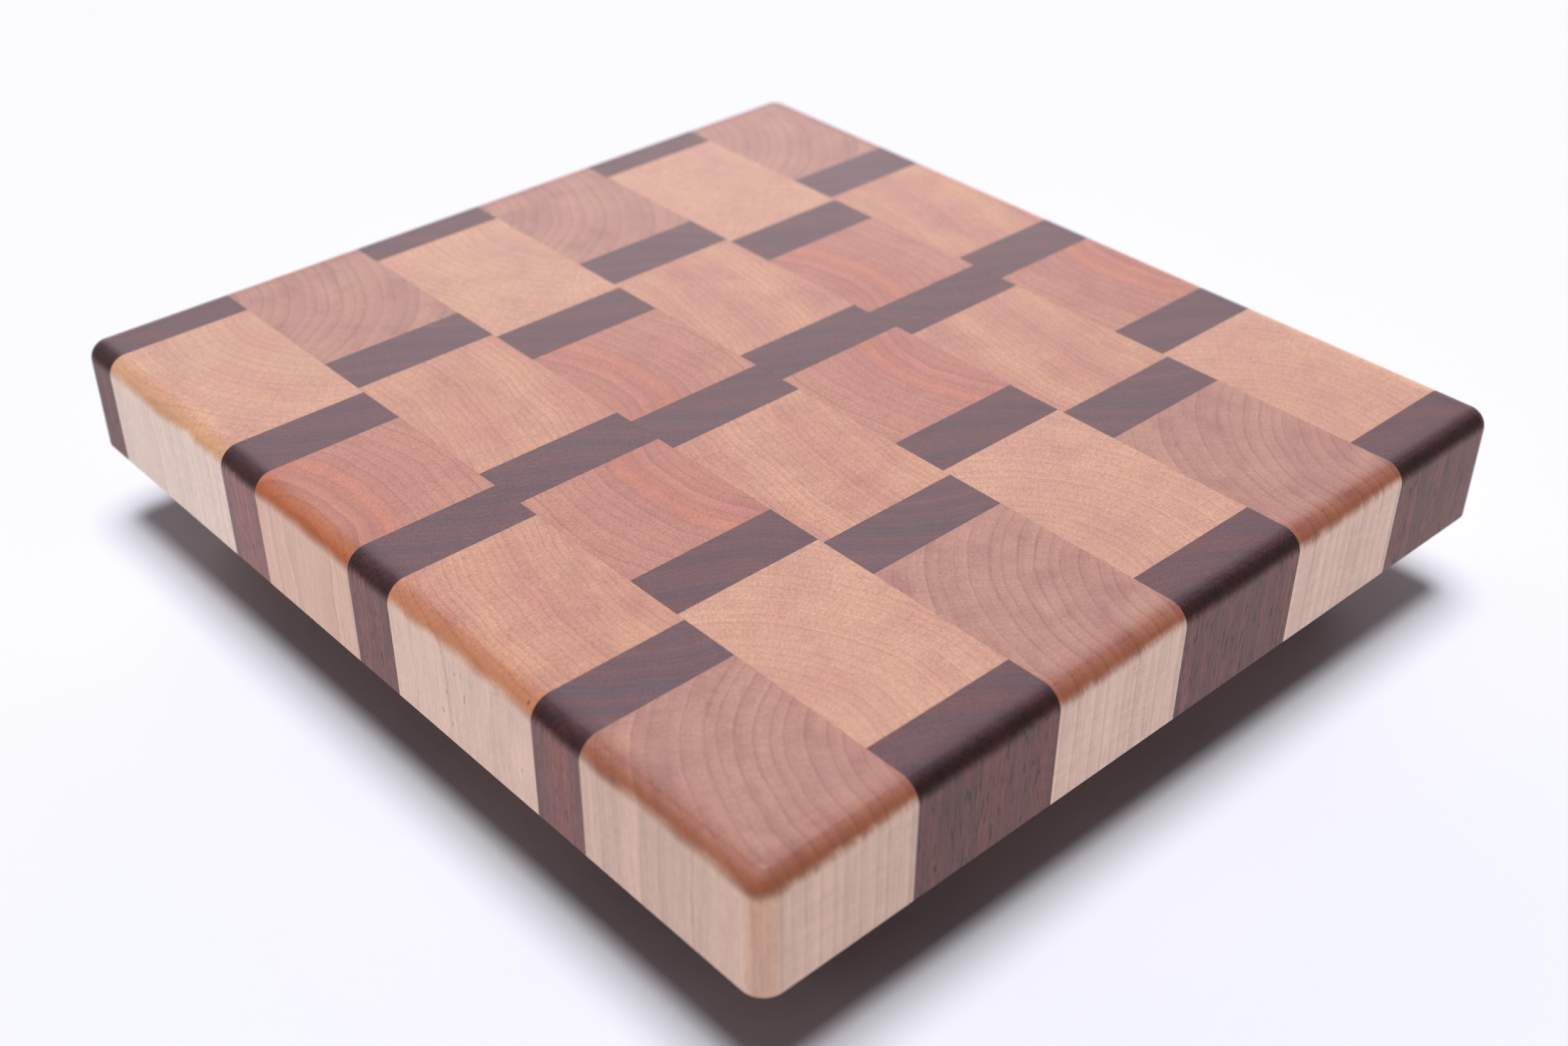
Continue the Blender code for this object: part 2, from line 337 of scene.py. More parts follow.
# ------------------------------------------------------------------------------------
# Wood.  Every lamination is one board.  Its growth rings are circles about a pith in the
# board's cross-section, stretched along the grain, so all six slices show the same figure
# on top and the sides show the matching lines.  Lengths are in millimetres of the board's
# own frame: x across the panel, y across the board, z along the grain.
#
#   pith                centre of the growth rings (x, y)
#   ring, wobble        ring spacing, and its unevenness in rings
#   bend, bend_scale    slow distortion of the rings and the scale of its noise
#   sway, jitter        shift of the rings along the grain, fine roughness of the rings
#   radius              turns the angle about the pith into a distance along a ring
#   line, line_w, dark  strength, width and tint of the line that ends a ring
#   late, ring_var      darkening towards the end of a ring, difference between rings
#   mottle, hue         strength of light and dark patches, and of yellow and pink areas
#   grit, ray, fleck    strength of fibres and specks, of medullary rays, of dark flecks
#   wave, scallop       slow and ring-following waves of the lower edge of the oiled band
#   soak                how much deeper the band reaches on the faces along X
#   seed                offsets the noises
#   top, over, side     colours: oiled top, round-over from its rim inwards, long grain
# ------------------------------------------------------------------------------------
MAPLE = {
    "maple_1": SimpleNamespace(
        pith=(75.0, 2.0), ring=4.3, wobble=0.70, bend=2.0, bend_scale=0.030, sway=0.5,
        jitter=0.22, radius=60.0, line=0.62, line_w=0.46, dark=(0.74, 0.66, 0.72), late=0.11,
        ring_var=0.035, mottle=0.11, hue=0.8, grit=0.20, ray=0.150, fleck=0.35,
        wave=2.4, scallop=0.6, soak=0.4, seed=3.1,
        top=(0.372, 0.184, 0.152), side=(0.743, 0.498, 0.403),
        over=((0.270, 0.094, 0.050), (0.250, 0.085, 0.047),
              (0.285, 0.112, 0.081), (0.300, 0.119, 0.090))),
    "maple_2": SimpleNamespace(
        pith=(190.0, 5.0), ring=2.6, wobble=0.60, bend=2.6, bend_scale=0.034, sway=1.2,
        jitter=0.16, radius=160.0, line=0.62, line_w=0.34, dark=(0.76, 0.66, 0.68), late=0.08,
        ring_var=0.035, mottle=0.08, hue=1.0, grit=0.26, ray=0.130, fleck=1.3,
        wave=3.2, scallop=2.0, soak=0.1, seed=7.7,
        top=(0.456, 0.224, 0.163), side=(0.868, 0.608, 0.493),
        over=((0.490, 0.208, 0.105), (0.468, 0.191, 0.102),
              (0.452, 0.194, 0.120), (0.458, 0.204, 0.128))),
    "maple_3": SimpleNamespace(
        pith=(-40.0, 22.0), ring=4.2, wobble=0.50, bend=3.0, bend_scale=0.036, sway=1.0,
        jitter=0.18, radius=60.0, line=0.62, line_w=0.34, dark=(0.72, 0.66, 0.78), late=0.07,
        ring_var=0.045, mottle=0.07, hue=0.5, grit=0.26, ray=0.110, fleck=0.25,
        wave=1.6, scallop=1.0, soak=0.9, seed=12.4,
        top=(0.387, 0.167, 0.131), side=(0.828, 0.518, 0.408),
        over=((0.402, 0.120, 0.046), (0.429, 0.127, 0.060),
              (0.438, 0.162, 0.090), (0.385, 0.150, 0.104))),
    "maple_4": SimpleNamespace(
        pith=(81.0, 57.6), ring=3.0, wobble=0.45, bend=1.4, bend_scale=0.030, sway=1.0,
        jitter=0.14, radius=60.0, line=0.50, line_w=0.32, dark=(0.80, 0.70, 0.66), late=0.06,
        ring_var=0.025, mottle=0.06, hue=0.7, grit=0.24, ray=0.150, fleck=0.15,
        wave=2.6, scallop=1.4, soak=0.2, seed=19.9,
        top=(0.484, 0.255, 0.188), side=(0.898, 0.693, 0.603),
        over=((0.590, 0.306, 0.172), (0.588, 0.319, 0.193),
              (0.554, 0.301, 0.191), (0.550, 0.300, 0.204))),
}
WALNUT_COMMON = dict(
    pith=(70.0, 75.0), ring=2.2, wobble=0.5, bend=3.0, bend_scale=0.045, sway=0.8, jitter=0.25,
    over=((0.042, 0.012, 0.012), (0.040, 0.015, 0.015),
          (0.060, 0.027, 0.031), (0.074, 0.035, 0.044)))
# name: (seed, strength of the pores, top colour, side colour)
WALNUT_TABLE = {
    "walnut_1": (31.0, 0.8, (0.114, 0.0585, 0.070), (0.213, 0.066, 0.062)),
    "walnut_2": (37.0, 1.1, (0.112, 0.0565, 0.067), (0.186, 0.055, 0.052)),
    "walnut_3": (43.0, 0.8, (0.110, 0.0530, 0.0625), (0.284, 0.100, 0.096)),
    "walnut_4": (51.0, 1.0, (0.107, 0.0505, 0.0595), (0.150, 0.042, 0.041)),
}
WALNUT = {
    name: SimpleNamespace(seed=seed, pores=pores, top=top, side=side, **WALNUT_COMMON)
    for name, (seed, pores, top, side) in WALNUT_TABLE.items()
}


def plank_coordinates(g):
    return g.value("Attribute", output="Vector",
                   attribute_type="GEOMETRY", attribute_name="plank")


def growth_rings(g, plank, wood):
    """Offset (dx, dy) and distance from the pith in mm, phase 0..1 in a ring, its random."""
    x, y, z = g.parts(plank)
    lazy = g.channels(g.grain((x + wood.seed * 13.7, y, z), along=0.16,
                              scale=wood.bend_scale, detail=1.5, output="Color"))
    fine = g.grain((x, y, z), along=0.22, scale=0.30, detail=1.0)
    # the trunk is not a straight cylinder: the rings sway a little along the grain
    sway = g.grain((x * 0.4, y + wood.seed * 5.1, z), along=0.62,
                   scale=0.060, detail=2.0, rough=0.45)
    dx = (x - wood.pith[0]) + lazy[0].centred(wood.bend)
    dy = (y - wood.pith[1]) + lazy[1].centred(wood.bend)
    radius = g.math("SQRT", dx * dx + dy * dy) + fine.centred(wood.jitter)
    radius = radius + sway.centred(wood.sway)
    uneven = g.noise1(radius + wood.seed, scale=0.11).centred(wood.wobble)
    count = radius * (1.0 / wood.ring) + uneven
    return SimpleNamespace(
        dx=dx, dy=dy, radius=radius,
        phase=g.math("FRACT", count),
        random=g.random1(g.math("FLOOR", count) + wood.seed))


def surface_zones(g):
    """Where a point lies on the finished skin of the board.

    normal_x, normal_y, steep: sizes of the normal's x, y and z
    facing_y: 1 on faces along Y, 0 on faces along X
    depth: mm below the top
    inward: mm in from the rim, over the round-over and then over the flat top
    """
    geometry = g.node("NewGeometry")
    normal = geometry.outputs["Normal"]
    steep = abs(g.parts(normal)[2])
    normal_x, normal_y = [abs(part) for part in g.parts(normal)[:2]]
    x, y, z = g.parts(geometry.outputs["Position"])
    flat = g.math(
        "MINIMUM",
        abs(x).linear(slope=-1.0 / MM, start=(HALF_X - EDGE_R) / MM),
        abs(y).linear(slope=-1.0 / MM, start=(HALF_Y - EDGE_R) / MM))
    level = g.math("SQRT", g.math("SUBTRACT", 1.0, steep * steep, clamp=True))
    on_curve = level.linear(slope=-EDGE_R / MM, start=EDGE_R / MM)
    return SimpleNamespace(
        normal_x=normal_x, normal_y=normal_y, steep=steep,
        facing_y=g.step(normal_y - normal_x, off=-0.3, on=0.3),
        depth=z.linear(slope=-1.0 / MM, start=TOP / MM),
        inward=on_curve + g.math("MAXIMUM", flat, 0.0))


def oil_streaks(g, axes):
    """Fine brush streaks along the grain."""
    return g.grain(axes, along=0.07, scale=0.75, detail=3.0, rough=0.6)


def oiled(g, wood, zone, reach, fade_start, fade_end):
    """Colour of the oiled wood, and how much of a point is end grain.

    Oil has soaked in through the end grain: the top and the round-over are deep coloured.
    The colour runs out down the sides between the fade depths in mm, shifted by reach.
    """
    rim, low, middle, high = wood.over
    stops = [(0.0, rim), (0.085, rim), (0.186, low), (0.318, middle), (0.535, high),
             (0.86, wood.top)]
    over = g.ramp(zone.inward * 0.1, stops, "B_SPLINE")
    reach = reach * g.step(zone.depth, off=0.8, on=5.0)
    band = g.step(zone.depth + reach, off=fade_start, on=fade_end, low=1.0, high=0.0)
    # the eased arris underneath and the underside are end grain as well
    under = g.step(zone.steep, off=0.35, on=0.80) * g.step(zone.depth, off=20.0, on=21.0)
    side = g.mix(under, wood.side, g.times(wood.top, (0.72, 0.70, 0.68)))
    return g.mix(band, side, over), g.step(zone.steep, off=0.72, on=0.99)


def wood_surface(g, zone, colour, normal, patch, edge_rough, patch_rough, shine, sheen):
    """The top is buffed with wax and shines more than the round-over and the sides.

    edge_rough, patch_rough: roughness added off the top and by the patches
    shine: specular level of the top;  sheen: sheen weight of the sides
    """
    steep = zone.steep
    roughness = g.step(steep, off=0.99, on=0.93).linear(
        slope=edge_rough, start=patch.linear(slope=patch_rough, start=0.36))
    upright = g.step(steep, off=0.5, on=0.05, high=0.19)
    specular = g.step(steep, off=0.93, on=0.995).linear(slope=shine - 0.15, start=0.15)
    g.surface(colour, roughness, normal, IOR=1.5,
              Specular_IOR_Level=specular + upright,
              Sheen_Weight=g.step(steep, off=0.5, on=0.05, high=sheen),
              Sheen_Roughness=0.4)


# ------------------------------------------------------------------------------------
# Maple
# ------------------------------------------------------------------------------------
def maple_reach(g, wood, axes, rings, zone, streaks):
    """How far the lower edge of the oiled band strays: streaks on slow waves, in mm."""
    x, y, z = axes
    facing_y = zone.facing_y
    wave = g.grain((x, y + wood.seed, z), along=0.02, scale=0.036, detail=1.0)
    scallop = g.noise1(rings.radius + wood.seed * 7.0, scale=0.16, detail=1.0)
    reach = (streaks.centred(1.0) * facing_y.linear(slope=1.35, start=0.15)
             + wave.centred(wood.wave * 1.7) * facing_y.linear(slope=-0.6, start=1.0))
    reach = reach + scallop.centred(wood.scallop)
    return reach + (1.0 - facing_y) * -wood.soak


def maple_tone(g, wood, axes, rings, ring_noise, patch, fibre, end, long_grain):
    """Relative lightness: patches, rays, fibres, rings and pores."""
    tone = patch.centred(wood.mottle) + rings.random.centred(wood.ring_var)
    # medullary rays: thin streaks across the rings
    rays = ring_noise(around=1.9, out=0.10, along=0.35, detail=2.0, rough=0.6)
    tone = tone + rays.centred(wood.ray)
    # fibres: specks on the end grain, long streaks on the sides
    grit = end.linear(slope=0.62 * wood.grit, start=0.38 * wood.grit)
    tone = tone + fibre.centred(1.0) * grit
    speck = ring_noise(around=1.7, out=1.0, along=0.06, detail=1.0, rough=0.6)
    tone = tone + speck.centred(1.35) * grit
    sand = g.grain(axes, along=0.6, scale=2.2, detail=1.0)
    tone = tone + sand.centred(0.09) * long_grain
    tone = tone - g.math("POWER", rings.phase, 3.0) * wood.late
    # fine lines inside a ring, and pores
    line_density = 1.0
    fine = g.noise1(rings.radius * line_density + wood.seed, scale=0.9, detail=2.0)
    tone = tone + fine.centred(0.090)
    pores = g.grain(axes, along=0.12, scale=5.0, detail=1.0)
    return tone + pores.centred(1.0) * end.linear(slope=0.09, start=0.08)


def maple_areas(g, wood, axes, rings, end, colour):
    """Yellower and pinker areas, some following the rings."""
    area = (g.grain(axes, along=0.12, scale=0.045, detail=2.0) * 0.65
            + g.noise1(rings.radius + wood.seed * 2.0, scale=0.07) * 0.35)
    hue = end.linear(slope=0.75 * wood.hue, start=0.25 * wood.hue)
    yellow = g.step(area, off=0.48, on=0.62) * hue
    pink = g.step(area, off=0.50, on=0.38) * hue
    colour = g.stain(colour, yellow, (1.05, 1.10, 1.03))
    return g.stain(colour, pink, (0.95, 0.90, 0.96))


def maple_ring_lines(g, wood, rings, ring_noise, end, colour):
    """A ring ends in a thin dark line, thinner still where the face is cut along the grain."""
    near = g.math("MINIMUM", rings.phase, 1.0 - rings.phase) * wood.ring
    width = end.linear(slope=wood.line_w * 0.55, start=wood.line_w * 0.45)
    line = g.step(near, off=width, on=0.03) * rings.random.linear(slope=0.60, start=0.40)
    faint = ring_noise(around=0.06, out=0.25, along=0.012, detail=1.0)
    line = line * g.step(faint, off=0.30, on=0.62, low=0.45, high=1.15)
    return g.stain(colour, line * wood.line, wood.dark)


def maple_marks(g, wood, axes, end, long_grain, colour):
    """Smoky patches, and short dark flecks and pins on the long grain."""
    x, y, z = axes
    smoke = g.grain((x, y + wood.seed * 9.0, z), along=0.12, scale=0.075, detail=2.0, rough=0.6)
    smoke = g.step(smoke, off=0.50, on=0.66) * end.linear(slope=0.7, start=0.3)
    colour = g.stain(colour, smoke * (wood.mottle * 9.0), (0.90, 0.86, 0.90))
    across = 1.0    # density of the flecks across the grain
    flecks = g.grain((x * across, y * across, z), along=0.24, scale=0.75, detail=1.0)
    fleck = g.step(flecks, off=0.735, on=0.80) * long_grain
    colour = g.stain(colour, fleck * (0.75 * wood.fleck), (0.42, 0.30, 0.28))
    pins = g.step(g.grain(axes, along=0.10, scale=1.9, detail=0.0), off=0.74, on=0.82)
    return g.stain(colour, pins * long_grain * 0.28, (0.6, 0.5, 0.5))


# tint of maple_3 by distance from the pith, 0 at 36 mm and 1 at 100 mm
MINERAL_STOPS = [
    (0.00, (1.03, 1.01, 0.98)), (0.10, (1.02, 0.98, 0.96)), (0.16, (0.98, 0.93, 0.95)),
    (0.22, (0.98, 0.92, 0.95)), (0.24, (1.06, 0.97, 0.92)), (0.27, (1.00, 0.94, 0.94)),
    (0.300, (0.97, 0.91, 0.94)), (0.325, (1.08, 0.97, 0.90)), (0.355, (1.10, 0.96, 0.88)),
    (0.410, (1.06, 0.96, 0.90)), (0.425, (0.95, 0.91, 0.94)), (0.50, (0.98, 0.98, 1.01)),
    (0.62, (1.00, 1.01, 1.02)), (0.80, (1.01, 1.04, 1.03)), (1.0, (1.01, 1.05, 1.04)),
]


def mineral_streak(g, rings, end, colour):
    """A streak of orange mineral colour between mauve ones, following the rings."""
    distance = g.step(rings.radius, off=36.0, on=100.0, kind="LINEAR")
    return g.stain(colour, end, g.ramp(distance, MINERAL_STOPS))


def maple_1_details(g, axes, zone, long_grain, colour):
    x, y, z = axes
    # painted light: the long grain is drawn a shade paler further along the plank, towards +X,
    # standing in for the brighter light on the sides there
    painted_light_drift = g.step(z, off=30.0, on=90.0) * long_grain
    colour = g.stain(colour, painted_light_drift, (1.08, 1.10, 1.12))
    # the rounded upright corner took up a little oil
    corner = zone.normal_x * zone.normal_y * 2.0
    tan = g.step(corner, off=0.10, on=0.80) * long_grain * 0.75
    colour = g.stain(colour, tan, (0.99, 0.88, 0.74))
    # painted light: the round-over of the faces along X is drawn lighter, standing in for the
    # extra light falling on that side
    painted_light_rim = g.step(zone.steep, off=0.30, on=0.52) * g.step(zone.steep, off=0.97, on=0.88)
    colour = g.stain(colour, (1.0 - zone.facing_y) * painted_light_rim, (1.20, 1.30, 1.40))
    # tiny flecks in the oiled corner
    spot = g.step(g.grain(axes, along=0.5, scale=1.3, detail=1.0), off=0.62, on=0.72)
    colour = g.stain(colour, spot * tan * 0.5, (0.72, 0.60, 0.50))
    # a curly band close to the board's y = 0 face, further along the plank
    middle = z.linear(slope=-0.085, start=41.5)
    band = (g.step(abs(x - middle), off=5.0, on=2.0)
            * (g.step(z, off=60.0, on=80.0) * g.step(y, off=2.5, on=0.5)))
    curl = g.grain((x * 1.1, y, z), along=1.9, scale=1.0, detail=2.0, rough=0.6, distortion=1.2)
    squiggle = g.step(curl, off=0.56, on=0.64) * (band * long_grain)
    return g.stain(colour, squiggle * 0.55, (0.62, 0.52, 0.50))


def maple_material(name, wood):
    material, g = new_material(name)
    plank = plank_coordinates(g)
    axes = g.parts(plank)
    rings = growth_rings(g, plank, wood)
    zone = surface_zones(g)
    streaks = oil_streaks(g, g.parts(plank))
    reach = maple_reach(g, wood, axes, rings, zone, streaks)
    base, end = oiled(g, wood, zone, reach, fade_start=2.5, fade_end=6.5)
    long_grain = 1.0 - end
    arc_length = g.math("ARCTAN2", rings.dy, rings.dx) * wood.radius

    def ring_noise(around, out, along, **settings):
        """Noise in ring coordinates; the factors set how fast it varies in each."""
        place = g.vec(arc_length * around, rings.radius * out, axes[2] * along)
        return g.noise(place, scale=1.0, **settings)

    patch = g.grain(axes, along=0.25, scale=0.10, detail=3.0, rough=0.55)
    fibre = g.grain(axes, along=0.035, scale=2.2, detail=2.0, rough=0.7)
    tone = maple_tone(g, wood, axes, rings, ring_noise, patch, fibre, end, long_grain)
    colour = g.lighten(base, 1.0 + tone)
    colour = maple_areas(g, wood, axes, rings, end, colour)
    colour = maple_ring_lines(g, wood, rings, ring_noise, end, colour)
    colour = maple_marks(g, wood, axes, end, long_grain, colour)
    if name == "maple_3":
        colour = mineral_streak(g, rings, end, colour)
    if name == "maple_1":
        colour = maple_1_details(g, axes, zone, long_grain, colour)

    normal = g.bump(fibre * 0.6 + streaks * 0.4, distance=0.00006, strength=0.55)
    wood_surface(g, zone, colour, normal, patch,
                 edge_rough=0.14, patch_rough=0.14, shine=0.65, sheen=0.12)
    return material


# ------------------------------------------------------------------------------------
# Walnut, rubber and steel
# ------------------------------------------------------------------------------------
def walnut_material(name, wood):
    material, g = new_material(name)
    plank = plank_coordinates(g)
    axes = g.parts(plank)
    rings = growth_rings(g, plank, wood)
    zone = surface_zones(g)
    oil_axes = g.parts(plank)
    streaks = oil_streaks(g, oil_axes)
    blotch = g.grain(oil_axes, along=0.3, scale=0.085, detail=2.0)
    reach = streaks.centred(1.6) + blotch.centred(1.4)
    base, end = oiled(g, wood, zone, reach, fade_start=3.2, fade_end=7.0)
    long_grain = 1.0 - end
    # broad blue-grey and warmer bands that follow the rings
    broad = g.noise1(rings.radius + wood.seed * 3.0, scale=0.14, detail=2.0)
    cool = g.step(broad, off=0.45, on=0.68) * 0.65
    warm = g.step(broad, off=0.46, on=0.30) * 0.55
    colour = g.stain(base, cool, (0.74, 0.92, 1.05))
    colour = g.mix(warm, colour, g.times(base, (1.18, 1.06, 1.00)))
    # patches, fibres and rings
    patch = g.grain(axes, along=0.2, scale=0.16, detail=3.0)
    fibre = g.grain(axes, along=0.03, scale=2.4, detail=2.0, rough=0.6)
    tone = patch.centred(0.15) + 0.17 + fibre.centred(0.52)
    tone = tone + rings.random.centred(0.06)
    tone = tone - g.math("POWER", rings.phase, 4.0) * 0.22
    colour = g.lighten(colour, 1.0 + tone)
    # the long grain is streaky: blue-black streaks beside redder ones
    bands = g.grain(axes, along=0.02, scale=0.34, detail=4.0, rough=0.72)
    blue_black = g.step(bands, off=0.50, on=0.62) * long_grain * 0.75
    colour = g.stain(colour, blue_black, (0.60, 0.68, 0.80))
    redder = g.step(bands, off=0.48, on=0.36) * long_grain * 0.75
    colour = g.stain(colour, redder, (1.36, 1.24, 1.16))
    # pores: open dots on the end grain, dashes on the sides
    pore = g.step(g.grain(axes, along=0.09, scale=3.4, detail=0.0), off=0.57, on=0.64)
    dots = pore * wood.pores * long_grain.linear(slope=-0.15, start=0.75)
    colour = g.mix(dots, colour, g.times(base, (0.42, 0.40, 0.42)))
    dashes = g.grain(axes, along=0.13, scale=1.3, detail=1.0)
    dash = g.step(dashes, off=0.60, on=0.67) * long_grain
    colour = g.mix(dash * wood.pores, colour, g.times(base, (0.30, 0.30, 0.34)))
    # painted shade: the round-over along the Y faces is drawn darker, standing in for the weaker
    # light falling on that side
    painted_shade_rim = zone.facing_y * (g.step(zone.steep, off=0.30, on=0.60)
                              * g.step(zone.steep, off=0.93, on=0.78))
    colour = g.stain(colour, painted_shade_rim, (0.66, 0.68, 0.68))

    normal = g.bump(fibre * 0.35 - (pore + dash), distance=0.00008, strength=0.55)
    wood_surface(g, zone, colour, normal, patch,
                 edge_rough=0.10, patch_rough=0.12, shine=0.50, sheen=0.07)
    return material


def rubber_material():
    material, g = new_material("rubber")
    place = g.position_mm()
    grain = g.noise(place, scale=1.8, detail=3.0, rough=0.6)
    dust = g.step(g.noise(place, scale=0.12, detail=3.0), off=0.45, on=0.75)
    colour = g.mix(dust, (0.016, 0.016, 0.017), (0.035, 0.034, 0.033))
    normal = g.bump(grain, distance=0.00005, strength=0.6)
    g.surface(colour, grain.linear(slope=0.2, start=0.55), normal, IOR=1.5)
    return material


def steel_material():
    material, g = new_material("steel")
    place = g.position_mm()
    turned = g.noise(g.times(place, (1.0, 1.0, 8.0)), scale=1.6, detail=2.0)
    stain = g.noise(place, scale=0.5, detail=3.0)
    colour = g.mix(stain, (0.50, 0.50, 0.51), (0.66, 0.65, 0.63))
    normal = g.bump(turned, distance=0.00002, strength=0.5)
    g.surface(colour, turned.linear(slope=0.25, start=0.18), normal, Metallic=1.0)
    return material


MATERIALS = {name: maple_material(name, wood) for name, wood in MAPLE.items()}
MATERIALS.update({name: walnut_material(name, wood) for name, wood in WALNUT.items()})
MATERIALS["rubber"] = rubber_material()
MATERIALS["steel"] = steel_material()


# ------------------------------------------------------------------------------------
# Blocks
# ------------------------------------------------------------------------------------
def outline(inset, z):
    """Rounded rectangle of the board's plan, drawn in by inset."""
    points = []
    radius = CORNER_R - inset
    centre_x = HALF_X - inset - radius
    centre_y = HALF_Y - inset - radius
    for side_x, side_y, start in ((1, 1, 0), (-1, 1, 90), (-1, -1, 180), (1, -1, 270)):
        for k in range(QUARTER_STEPS + 1):
            angle = math.radians(start + 90.0 * k / QUARTER_STEPS)
            points.append((side_x * centre_x + radius * math.cos(angle),
                           side_y * centre_y + radius * math.sin(angle), z))
    return points


def skin():
    """Outside of the board, closed: eased arris, upright sides, round-over, flat top."""
    levels = []
    for k in range(ARRIS_STEPS + 1):
        angle = math.radians(90.0 * k / ARRIS_STEPS)
        levels.append((EASE * (1 - math.sin(angle)), BOTTOM + EASE * (1 - math.cos(angle))))
    for k in range(QUARTER_STEPS + 1):
        angle = math.radians(90.0 * k / QUARTER_STEPS)
        levels.append((EDGE_R * (1 - math.cos(angle)), TOP - EDGE_R * (1 - math.sin(angle))))
    bm = bmesh.new()
    join_rings(bm, [[bm.verts.new(p) for p in outline(inset, z)] for inset, z in levels])
    return mesh_object("skin", bm)


def skin_normal(point):
    """Outward normal of the skin at a point on its side or its round-over."""
    side_x, side_y = math.copysign(1, point.x), math.copysign(1, point.y)
    past_x = abs(point.x) - (HALF_X - CORNER_R)
    past_y = abs(point.y) - (HALF_Y - CORNER_R)
    if past_x > 0 and past_y > 0:
        flat = Vector((side_x * past_x, side_y * past_y, 0)).normalized()
    elif abs(point.x) - HALF_X > abs(point.y) - HALF_Y:
        flat = Vector((side_x, 0, 0))
    else:
        flat = Vector((0, side_y, 0))
    up = max(0.0, min(1.0, (point.z - (TOP - EDGE_R)) / EDGE_R))
    return (flat * math.sqrt(1 - up * up) + Vector((0, 0, up))).normalized()


def pilot_hole(place):
    """Axis and cutter of a screw hole with a pointed end."""
    axis, _, _, tip = round_part("screw_" + place)
    start = BOTTOM - 4 * MM
    profile = [(0, start), (PILOT_R, start), (PILOT_R, tip - 0.6 * MM), (0, tip + 1.6 * MM)]
    return axis, spun("pilot_" + place, profile, 32, axis)


def build_blocks():
    envelope = skin()
    holes = [pilot_hole(place) for place in PLACES]
    grow = (CAD_SEAM - SEAM) / 2
    for (strip, wood), box in BOXES.items():
        low, high = box[0].copy(), box[1].copy()
        outer = False
        for axis in (0, 1):
            at_low = low[axis] - BOARD_LO[axis] < TOUCH
            at_high = BOARD_HI[axis] - high[axis] < TOUCH
            low[axis] -= OVERSIZE if at_low else grow
            high[axis] += OVERSIZE if at_high else grow
            outer = outer or at_low or at_high
        spare = OVERSIZE if outer else 0.0
        low.z, high.z = BOTTOM - spare, TOP + spare
        block = box_object(f"block_{strip}_{wood}", low, high)
        if outer:
            boolean(block, "INTERSECT", envelope)
        for (x, y), cutter in holes:
            if low.x < x < high.x and low.y < y < high.y:
                boolean(block, "DIFFERENCE", cutter)
        if len(block.modifiers):
            bake_modifiers(block)
        store_plank_frame(block.data, strip, wood)
        if outer:
            set_skin_normals(block.data)
        register(block, f"strip_{strip}_{wood}", wood)
    for helper in [envelope] + [cutter for _, cutter in holes]:
        bpy.data.objects.remove(helper)


def store_plank_frame(mesh, strip, wood):
    """Store each vertex in mm in the frame of its plank; even strips are turned half round."""
    low, high = BOXES[strip, wood]
    if strip % 2:
        strip_end = max(BOXES[strip, other][1].x for other in WOODS)
        origin, turn = (strip_end - PANEL_T, low.y), 1
    else:
        strip_start = min(BOXES[strip, other][0].x for other in WOODS)
        origin, turn = (strip_start + PANEL_T, high.y), -1
    points = np.empty(len(mesh.vertices) * 3, np.float32)
    mesh.vertices.foreach_get("co", points)
    points = points.reshape(-1, 3).astype(float)
    points[:, :2] = turn * (points[:, :2] - origin)
    points[:, 2] = points[:, 2] - BOTTOM + (strip - 1) * SLICE_STEP
    attribute = mesh.attributes.new("plank", "FLOAT_VECTOR", "POINT")
    attribute.data.foreach_set("vector", (points / MM).astype(np.float32).ravel())


def set_skin_normals(mesh):
    """Exact normals on the sides and the round-over, flat ones on the other faces."""
    mesh.shade_smooth()
    normals = [None] * len(mesh.loops)
    for polygon in mesh.polygons:
        flat, middle = polygon.normal, polygon.center
        on_skin = (abs(flat.z) < 0.9999 and middle.z > BOTTOM + EASE * 1.01
                   and skin_normal(middle).dot(flat) > 0.96)
        for k in polygon.loop_indices:
            point = mesh.vertices[mesh.loops[k].vertex_index].co
            normals[k] = tuple(skin_normal(point) if on_skin else flat)
    mesh.normals_split_custom_set(normals)


# ------------------------------------------------------------------------------------
# Feet, washers and screws
# ------------------------------------------------------------------------------------
RIBS = 3                      # raised rings round the tread of a foot
RIB_DEPTH = 0.45 * MM
RIB_SLOPE = 0.25 * MM
FOOT_EDGE_R = 1.6 * MM        # outer bottom edge
COUNTERBORE_R = 0.7 * MM      # rounding of the counterbore's mouth
LIP_R = 0.5 * MM


